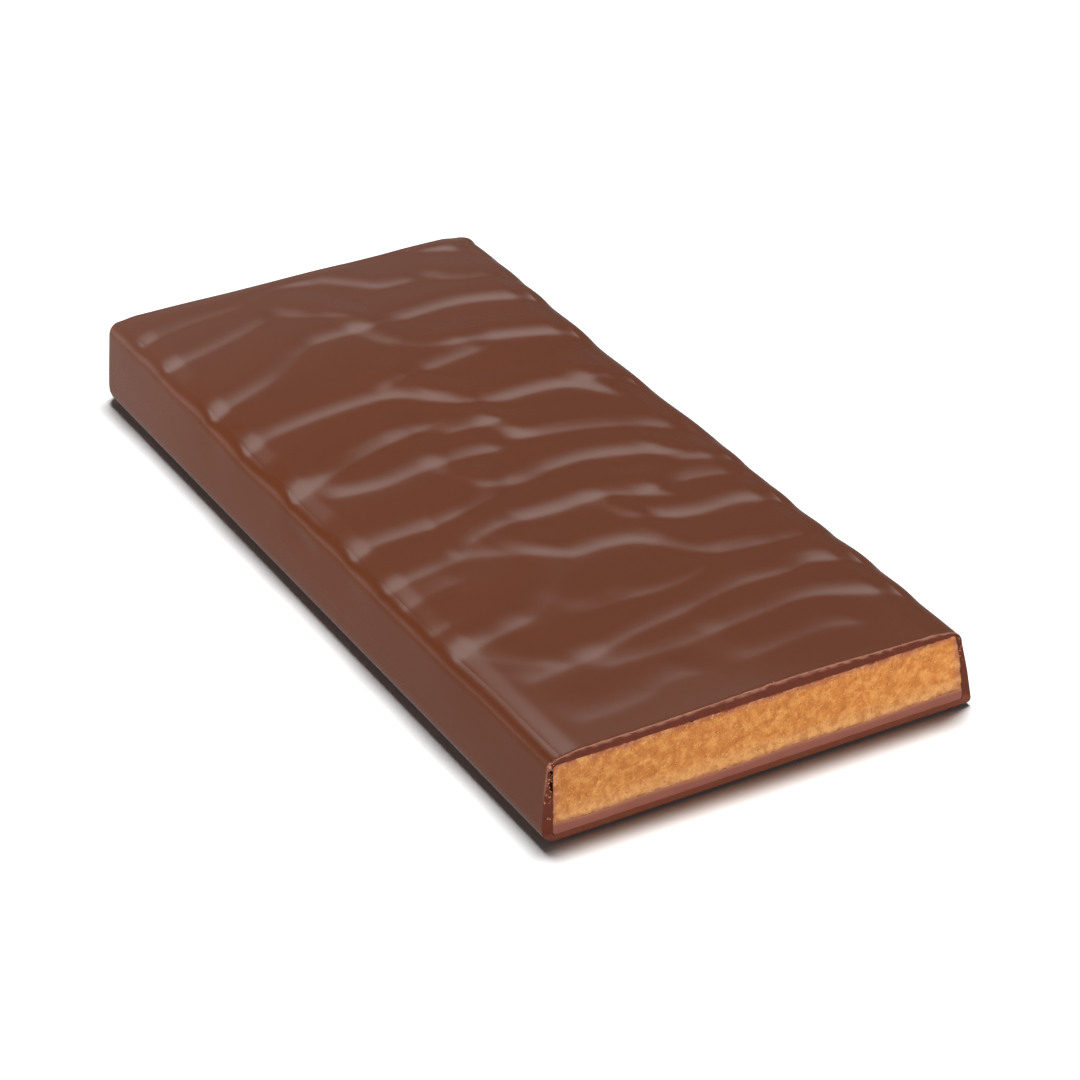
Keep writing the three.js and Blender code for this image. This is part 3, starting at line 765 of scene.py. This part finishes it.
def inner_piece(name, profiles, lift, face_relief, marks):
    """An inner layer whose cut face is a fine grid with relief."""
    columns = FACE_COLUMNS
    arc, rows = 3, 3
    shares = np.linspace(0, 1, rows + 1)
    body = Slab(profiles, shares, columns - 2 * arc, arc, ROOM_CORNERS, lift, no_pull, False)
    vertices = body.vertices()
    levels = body.levels
    left = np.arange(levels) * body.ring
    right = left + body.ring - 1
    low, high = body.bottom, body.top[0]
    a = np.linspace(0, 1, columns + 1)[None, :, None]
    b = np.linspace(0, 1, levels)[:, None, None]
    lower, upper = vertices[low][None], vertices[high][None]
    west, east = vertices[left][:, None], vertices[right][:, None]
    corners = (
        (1 - a) * (1 - b) * vertices[low[0]]
        + a * (1 - b) * vertices[low[-1]]
        + (1 - a) * b * vertices[high[0]]
        + a * b * vertices[high[-1]]
    )
    grid = (1 - b) * lower + b * upper + (1 - a) * west + a * east - corners
    index = len(vertices) + np.arange((levels - 2) * (columns - 1)).reshape(levels - 2, -1)
    whole = np.empty((levels, columns + 1), int)
    whole[0], whole[-1] = low, high
    whole[:, 0], whole[:, -1] = left, right
    whole[1:-1, 1:-1] = index
    vertices = np.concatenate([vertices, grid[1:-1, 1:-1].reshape(-1, 3)])
    face = whole.ravel()
    vertices[face, 1] += face_relief(vertices[face])
    faces = body.faces + np.stack(
        [whole[:-1, :-1].ravel(), whole[:-1, 1:].ravel(), whole[1:, 1:].ravel(), whole[1:, :-1].ravel()], -1
    ).tolist()
    return make_mesh(name, vertices, faces, marks(vertices))


def heights_between(profiles, floor, roof, count):
    """Profiles cut to a stretch of heights, with evenly spaced levels and the top's round kept."""
    z = profiles[0][:, 1]
    own = z[(z > roof - INNER["left"][5]) & (z < roof)]
    low = np.linspace(floor, own[0] if len(own) else roof, count + 1)
    levels = np.concatenate([low[:-1], own, [roof]]) if len(own) else low
    return [np.stack([np.interp(levels, p[:, 1], p[:, 0]), levels], -1) for p in profiles]


def granular(points):
    """The torn grains of the cut filling: rounded lumps, with pits between them."""
    lumps = np.array([noise.voronoi(Vector(p) / GRAIN)[0][0] for p in points])
    return 0.12 * (lumps - 0.35) + 0.05 * fractal(points, 0.9) + 0.03 * fractal(points, 0.3)


def rim_marks(vertices):
    """Marks where the filling took colour from the coat, and where it meets the base layer."""
    x, z = vertices[:, 0], vertices[:, 2]
    from_roof = ROOF - z
    from_left = x + WIDTH / 2 - INNER["left"][0]
    inset, height = inner_profiles(0, RIM_STEPS)[SIDES.index("right")].T
    from_right = WIDTH / 2 - np.interp(z, height, inset) - x
    nearest = np.minimum(np.minimum(from_roof, from_left), from_right)
    nearest += 0.12 * fractal(vertices, 1.0) + 0.16 * fractal(vertices, 3.1)
    return {"rim": np.clip(1 - nearest / RIM_WIDE, 0, 1), **seam_marks(vertices)}


def seam_marks(vertices):
    """Marks the smeared line where the filling and the base layer were cut together."""
    x, z = vertices[:, 0], vertices[:, 2]
    away = np.abs(z - SEAM - seam_wave(x)) + 0.10 * fractal(vertices, 0.8)
    return {"seam": smooth(1 - away / np.where(z > SEAM + seam_wave(x), SEAM_ABOVE, SEAM_BELOW))}


def make_filling(context):
    profiles = heights_between(inner_profiles(FIT, INNER_STEPS), SEAM, ROOF - FIT, 34)
    height = ROOF - FIT - SEAM

    def lift(x, y, z):
        return (1 - (z - SEAM) / height) * seam_wave(x)

    piece = inner_piece("caramel_filling", profiles, lift, granular, rim_marks)
    piece.data.materials.append(grainy_filling(context.scene.bar_colours))
    stand_in(piece, "filling")


def make_base_layer(context):
    floor, roof = COAT_FLOOR + FIT, SEAM - FIT
    profiles = heights_between(inner_profiles(FIT, INNER_STEPS), floor, roof, 8)

    def lift(x, y, z):
        return (z - floor) / (roof - floor) * seam_wave(x)

    def drag(points):
        return 0.02 * fractal(points, 1.2) + 0.008 * fractal(points, 0.3)

    piece = inner_piece("paste_base_layer", profiles, lift, drag, seam_marks)
    piece.data.materials.append(dense_base(context.scene.bar_colours))
    stand_in(piece, "base_layer")


# ---- Crumbs, burrs and grains ----


def scatter_tree():
    """Scatters broken bits over a surface, as thick as its "share" attribute says."""
    tree = bpy.data.node_groups.new("Scatter broken bits", "GeometryNodeTree")
    face = tree.interface
    face.new_socket("Geometry", in_out="INPUT", socket_type="NodeSocketGeometry")
    for name, kind in (
        ("Density", "NodeSocketFloat"),
        ("Smallest", "NodeSocketFloat"),
        ("Largest", "NodeSocketFloat"),
        ("Flatness", "NodeSocketFloat"),
        ("Seed", "NodeSocketInt"),
        ("Material", "NodeSocketMaterial"),
    ):
        face.new_socket(name, in_out="INPUT", socket_type=kind)
    face.new_socket("Geometry", in_out="OUTPUT", socket_type="NodeSocketGeometry")
    given = add(tree, "NodeGroupInput").outputs
    share = add(tree, "GeometryNodeInputNamedAttribute", {"Name": "share"}, data_type="FLOAT")
    density = add(
        tree, "ShaderNodeMath", {0: given["Density"], 1: share.outputs["Attribute"]}, operation="MULTIPLY"
    )
    points = add(
        tree, "GeometryNodeDistributePointsOnFaces",
        {"Mesh": given["Geometry"], "Density": density.outputs[0], "Seed": given["Seed"]},
    )
    turn = add(
        tree, "FunctionNodeRandomValue",
        {0: (0, 0, 0), 1: (math.tau, math.tau, math.tau), "Seed": given["Seed"]}, data_type="FLOAT_VECTOR",
    )
    size = add(
        tree, "FunctionNodeRandomValue", {2: given["Smallest"], 3: given["Largest"], "Seed": given["Seed"]},
        data_type="FLOAT",
    )
    squash = add(tree, "ShaderNodeCombineXYZ", {"X": 1, "Y": 1, "Z": given["Flatness"]})
    scale = add(
        tree, "ShaderNodeVectorMath", {0: squash.outputs[0], "Scale": size.outputs[1]}, operation="SCALE"
    )
    bit = add(tree, "GeometryNodeMeshIcoSphere", {"Radius": 0.5, "Subdivisions": 2})
    placed = add(
        tree, "GeometryNodeInstanceOnPoints",
        {
            "Points": points.outputs["Points"],
            "Instance": bit.outputs["Mesh"],
            "Rotation": turn.outputs[0],
            "Scale": scale.outputs[0],
        },
    )
    real = add(tree, "GeometryNodeRealizeInstances", {0: placed.outputs[0]})
    where = add(tree, "GeometryNodeInputPosition")
    chip = add(
        tree, "ShaderNodeTexNoise", {"Vector": where.outputs[0], "Scale": 1 / (0.16 * MM), "Detail": 1}
    )
    offset = add(
        tree, "ShaderNodeVectorMath", {0: chip.outputs["Color"], 1: (0.5, 0.5, 0.5)}, operation="SUBTRACT"
    )
    jag = add(
        tree, "ShaderNodeVectorMath", {0: offset.outputs[0], "Scale": given["Largest"]}, operation="SCALE"
    )
    moved = add(
        tree, "GeometryNodeSetPosition", {"Geometry": real.outputs[0], "Offset": jag.outputs[0]}
    )
    painted = add(
        tree, "GeometryNodeSetMaterial", {"Geometry": moved.outputs[0], "Material": given["Material"]}
    )
    add(tree, "NodeGroupOutput", {0: painted.outputs[0]})
    return tree


def scatter(name, patch, tree, slot, **values):
    """Turns a patch of surface into the bits scattered on it, as one plain mesh. The values are the
    tree's inputs by name."""
    modifier = patch.modifiers.new("bits", "NODES")
    modifier.node_group = tree
    for item in tree.interface.items_tree:
        if item.in_out == "INPUT" and item.name in values:
            modifier[item.identifier] = values[item.name]
    graph = bpy.context.evaluated_depsgraph_get()
    mesh = bpy.data.meshes.new_from_object(patch.evaluated_get(graph))
    if not mesh.polygons:
        raise RuntimeError(f"{name} came out empty")
    mesh.name = name
    piece = bpy.data.objects.new(name, mesh)
    bpy.context.scene.collection.objects.link(piece)
    bpy.data.objects.remove(patch)
    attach(piece, "root")


def ribbon(name, line, inward, shares):
    """A narrow strip of faces along a line of points in mm, `inward` wide."""
    line, inward = np.array(line, float), np.array(inward, float)
    vertices = np.concatenate([line, line + inward])
    count = len(line)
    faces = [[i, i + 1, i + 1 + count, i + count] for i in range(count - 1)]
    return make_mesh(name, vertices, faces, {"share": np.concatenate([shares, shares])})


# Densities count the bits on each square millimetre where a strip's share is 1.
EDGE_ENDS, EDGE_POINTS = (-26.2, 25.0), 160
# Where burrs gather along the edge: the place across, and how thickly. Then how wide a clump is.
CLUMPS, CLUMP_WIDE = ((-25.7, 6), (-24.6, 1.5), (22.9, 3.5)), 0.4
BURR_STRIP, BURR_DENSITY = (0, 0.28, 0.02), 5.5

# The cut walls' crumbs lie up the left wall and down the right one, each as heights with the places
# across at two of them, the strip's width inwards and its share of the crumbs.
UP, UP_AT, UP_X, UP_POINTS, UP_WIDE = (1.2, 10.3), (5.6, 9.6), (-27.05, -26.6), 90, 0.75
DOWN, DOWN_AT, DOWN_X, DOWN_POINTS, DOWN_WIDE = (9.6, 4.8), (5, 9.5), (26.15, 25.35), 40, 0.55
UP_LEAST, UP_THICK, DOWN_MOST, DOWN_THICK = 0.04, (4.4, 1.6), 0.45, (4.8, 2)
CRUMB_DENSITY = 12

# The sugar grains' patch of the filling: its foot's height, how tall it is and its ends across.
GRAINS_LOW, GRAINS_TALL, GRAINS_ENDS, GRAINS_POINTS = 2.6, 6.6, (-25.6, 23.6), 80
GRAIN_DENSITY = 1.1


def top_edge():
    """Points along the cut's top edge, from shoulder to shoulder."""
    x = np.linspace(*EDGE_ENDS, EDGE_POINTS)
    y = np.full(EDGE_POINTS, NEAR_Y)
    shoulder = OUTER_STEPS[2] + 1
    left, _, right = (profile[-shoulder:] for profile in outer_profiles())
    z = np.full(EDGE_POINTS, HEIGHT) + relief(x, y)
    from_left = np.interp(x + WIDTH / 2, left[:, 0], left[:, 1])
    from_right = np.interp(WIDTH / 2 - x, right[:, 0], right[:, 1])
    z += np.minimum(from_left, from_right) - HEIGHT
    return np.stack([x, y, z], -1)


def burr_strip():
    """A strip along the cut's top edge, with more burrs where they gather."""
    line = top_edge()
    shares = np.clip(0.5 + 1.1 * fractal(line * (1, 0, 0), 2.2), 0, 1) ** 2
    for middle, thick in CLUMPS:
        shares += thick * np.exp(-(((line[:, 0] - middle) / CLUMP_WIDE) ** 2))
    return ribbon("burr_strip", line + (0, 0.02, 0.03), np.tile(BURR_STRIP, (EDGE_POINTS, 1)), shares)


def wall_strip():
    """A strip up the left cut wall and down the right one, with no crumbs where it crosses over."""
    up, down = np.linspace(*UP, UP_POINTS), np.linspace(*DOWN, DOWN_POINTS)
    x = np.concatenate([np.interp(up, UP_AT, UP_X), np.interp(down, DOWN_AT, DOWN_X)])
    line = np.stack([x, np.full(len(x), NEAR_Y - 0.02), np.concatenate([up, down])], -1)
    rising = UP_LEAST + (1 - UP_LEAST) * above(up, UP_THICK)
    shares = np.concatenate([rising, DOWN_MOST * above(down, DOWN_THICK)])
    shares[UP_POINTS - 1 : UP_POINTS + 1] = 0
    inward = np.where(x < 0, UP_WIDE, -DOWN_WIDE)[:, None] * (1, 0, 0) + (0, 0.08, 0)
    return ribbon("wall_strip", line, inward, shares)


def grain_strip():
    """A patch that covers the cut filling."""
    x = np.linspace(*GRAINS_ENDS, GRAINS_POINTS)
    line = np.stack([x, np.full(len(x), NEAR_Y - 0.03), np.full(len(x), GRAINS_LOW)], -1)
    return ribbon("grain_strip", line, np.tile((0, 0, GRAINS_TALL), (len(x), 1)), np.ones(len(x)))


def make_crumbs(context):
    colours, sizes = context.scene.bar_colours, context.scene.bar_sizes
    tree = scatter_tree()
    scatter(
        "cut_edge_burrs", burr_strip(), tree, "chocolate",
        Material=crumb_material("broken chocolate", colours.coat_cut, colours.coat_edge),
        Density=BURR_DENSITY / MM**2, Smallest=0.3 * sizes.burr, Largest=sizes.burr, Flatness=0.55,
        Seed=sizes.seed,
    )
    scatter(
        "corner_crumbs", wall_strip(), tree, "chocolate",
        Material=crumb_material("crumbled chocolate and caramel", colours.coat_cut, colours.crumb),
        Density=CRUMB_DENSITY / MM**2, Smallest=0.3 * sizes.crumb, Largest=sizes.crumb, Flatness=0.8,
        Seed=sizes.seed + 1,
    )
    scatter(
        "sugar_grains", grain_strip(), tree, "filling",
        Material=crumb_material("sugar grains", colours.filling_light, colours.sugar),
        Density=GRAIN_DENSITY / MM**2, Smallest=0.35 * sizes.grain, Largest=sizes.grain, Flatness=0.9,
        Seed=sizes.seed + 2,
    )


# ---- Studio, in metres and degrees ----

FLOOR_HALF, FLOOR_DROP = 2.0, 0.0004
# How strongly the air glows from high up, from lower down and from under the horizon.
GLOW_HIGH, GLOW_LOW, GLOW_UNDER = 0.03, 0.20, 0.36

CAMERA_TURN, CAMERA_RISE, CAMERA_AWAY, CAMERA_LENS = -29.09, 30.85, 0.42, 117.2
CAMERA_TARGET = (0, -0.0003, 0)
AIM_RIGHT, AIM_DOWN = 0.00399, 0.00027

# The line of sight's course over the floor, and the one across it to the right.
SIGHT, ACROSS_SIGHT = Vector((0.486, 0.874, 0)), Vector((0.874, -0.486, 0))
# The overhead softbox is three strips across the line of sight: how far out, how deep, how bright.
SOFTBOX_HEIGHT, SOFTBOX_RIGHT, SOFTBOX_WIDE = 1.45, 0.625, 2.3
SOFTBOXES = {
    "far softbox": (0.805, 1.41, 2.45),
    "far softbox's dim edge": (1.583, 0.15, 1.65),
    "far softbox's dimmer edge": (1.733, 0.15, 0.9),
}
# Soft fill that the satin chocolate doesn't mirror: place, aim, width, height, brightness.
CARDS = {
    "top card": ((-0.05, -0.10, 0.70), (0, 0, 0), 0.5, 0.35, 1.3),
    "left card": ((-0.28, 0.26, 0.2), (-0.027, 0.02, 0.005), 0.4, 0.25, 8.5),
    "front card": ((0.35, -0.6, 0.22), (0.0, -0.05, 0.005), 0.5, 0.3, 8.9),
    "floor card": ((0.14, 0.17, 0.9), (0, 0, 0), 0.38, 0.20, 52.0),
}
# A card that shows as a highlight along the left shoulder: place, turn, width, height, brightness.
SHOULDER_CARD = ((-0.47, 0.88, 0.36), (90, 0, 208), 0.5, 0.4, 0.45)


def make_floor(scene):
    corners = ((-1, -1), (1, -1), (1, 1), (-1, 1))
    mesh = bpy.data.meshes.new("floor")
    mesh.from_pydata([(FLOOR_HALF * x, FLOOR_HALF * y, -FLOOR_DROP) for x, y in corners], [], [range(4)])
    floor = bpy.data.objects.new("floor", mesh)
    scene.collection.objects.link(floor)
    paper, tree = blank_material("white studio paper")
    shader = add(tree, "ShaderNodeBsdfPrincipled", {"Base Color": (0.97, 0.97, 0.97, 1), "Roughness": 0.9})
    add(tree, "ShaderNodeOutputMaterial", {"Surface": shader.outputs[0]})
    mesh.materials.append(paper)
    floor.visible_glossy = False
    return floor


def make_air(scene):
    """A dim room round the bar, brighter from below, where the white paper goes on."""
    world = bpy.data.worlds.new("studio")
    world.use_nodes = True
    scene.world = world
    tree = world.node_tree
    tree.nodes.clear()
    place = add(tree, "ShaderNodeTexCoord").outputs["Generated"]
    height = add(tree, "ShaderNodeSeparateXYZ", {0: place}).outputs["Z"]
    low = add(tree, "ShaderNodeMapRange", {0: height, 1: 0.50, 2: 0.40, 3: GLOW_HIGH, 4: GLOW_LOW})
    glow = add(
        tree, "ShaderNodeMapRange", {0: height, 1: 0.1, 2: -0.1, 3: low.outputs[0], 4: GLOW_UNDER}
    )
    air = add(tree, "ShaderNodeBackground", {"Strength": glow.outputs[0]})
    add(tree, "ShaderNodeOutputWorld", {"Surface": air.outputs[0]})


def make_lamps(scene, floor):
    """The floor has a lamp of its own, and is spared the others, which would wash out the shadow
    along the bar's foot."""
    spared, alone = (bpy.data.collections.new(name) for name in ("all but the floor", "the floor alone"))
    for group, state in ((spared, "EXCLUDE"), (alone, "INCLUDE")):
        group.objects.link(floor)
        for entry in group.collection_objects:
            entry.light_linking.link_state = state

    def lamp(name, place, turn, wide, tall, radiance, mirrored):
        light = bpy.data.lights.new(name, "AREA")
        light.shape = "RECTANGLE"
        light.size, light.size_y = wide, tall
        light.energy = radiance * math.pi * wide * tall
        made = bpy.data.objects.new(name, light)
        made.location, made.rotation_euler = place, turn
        made.visible_glossy = mirrored
        made.light_linking.receiver_collection = alone if name == "floor card" else spared
        scene.collection.objects.link(made)

    for name, (out, deep, radiance) in SOFTBOXES.items():
        place = SIGHT * out + ACROSS_SIGHT * SOFTBOX_RIGHT + Vector((0, 0, SOFTBOX_HEIGHT))
        lamp(name, place, (0, 0, math.radians(CAMERA_TURN)), SOFTBOX_WIDE, deep, radiance, True)
    for name, (place, aim, *rest) in CARDS.items():
        turn = (Vector(aim) - Vector(place)).to_track_quat("-Z", "Y").to_euler()
        lamp(name, place, turn, *rest, False)
    place, turn, *rest = SHOULDER_CARD
    lamp("shoulder card", place, [math.radians(angle) for angle in turn], *rest, True)


def make_camera(scene):
    data = bpy.data.cameras.new("camera")
    data.sensor_width = 36
    data.lens = CAMERA_LENS
    data.clip_start, data.clip_end = 0.01, 20
    camera = bpy.data.objects.new("camera", data)
    turn, rise, target = math.radians(CAMERA_TURN), math.radians(CAMERA_RISE), Vector(CAMERA_TARGET)
    back = Vector((math.sin(turn) * math.cos(rise), -math.cos(turn) * math.cos(rise), math.sin(rise)))
    right = back.cross(Vector((0, 0, 1))).normalized() * -1
    aim = target + right * AIM_RIGHT - back.cross(right) * AIM_DOWN
    camera.location = target + back * CAMERA_AWAY
    camera.rotation_euler = (aim - camera.location).to_track_quat("-Z", "Y").to_euler()
    scene.collection.objects.link(camera)
    scene.camera = camera


def make_stage(context):
    scene = context.scene
    scene.view_settings.view_transform = "Standard"
    floor = make_floor(scene)
    make_air(scene)
    make_lamps(scene, floor)
    make_camera(scene)


# ---- Operators, panel and run ----


def operator(name, label, text, action):
    """An operator class that runs one making function."""

    def execute(self, context):
        action(context)
        return {"FINISHED"}

    return type(
        "BAR_OT_" + name, (bpy.types.Operator,),
        {"bl_idname": "bar." + name, "bl_label": label, "__doc__": text, "execute": execute},
    )


OPERATORS = [
    operator("stage", "Studio", "Makes the floor, the lights and the camera", make_stage),
    operator("coat", "Coat", "Makes the rippled chocolate coat with its cut end", make_coat),
    operator("base_layer", "Base layer", "Makes the thin layer under the filling", make_base_layer),
    operator("filling", "Filling", "Makes the grainy filling", make_filling),
    operator("crumbs", "Crumbs", "Scatters burrs, crumbs and sugar grains on the cut", make_crumbs),
]


class VIEW3D_PT_bar(bpy.types.Panel):
    """Lists the steps that make the bar."""

    bl_label = "Filled Bar"
    bl_category = "Bar"
    bl_space_type = "VIEW_3D"
    bl_region_type = "UI"

    def draw(self, context):
        for kind in OPERATORS:
            self.layout.operator(kind.bl_idname)
        for key in LENGTHS:
            self.layout.prop(context.scene.bar_sizes, key)
        for key in COLOURS:
            self.layout.prop(context.scene.bar_colours, key)


CLASSES = [BarColours, BarSizes, *OPERATORS, VIEW3D_PT_bar]


def register():
    for kind in CLASSES:
        bpy.utils.register_class(kind)
    bpy.types.Scene.bar_colours = bpy.props.PointerProperty(type=BarColours)
    bpy.types.Scene.bar_sizes = bpy.props.PointerProperty(type=BarSizes)


def unregister():
    del bpy.types.Scene.bar_colours
    del bpy.types.Scene.bar_sizes
    for kind in reversed(CLASSES):
        bpy.utils.unregister_class(kind)


def main():
    register()
    for kind in OPERATORS:
        group, name = kind.bl_idname.split(".")
        getattr(getattr(bpy.ops, group), name)()


if __name__ == "__main__":
    main()
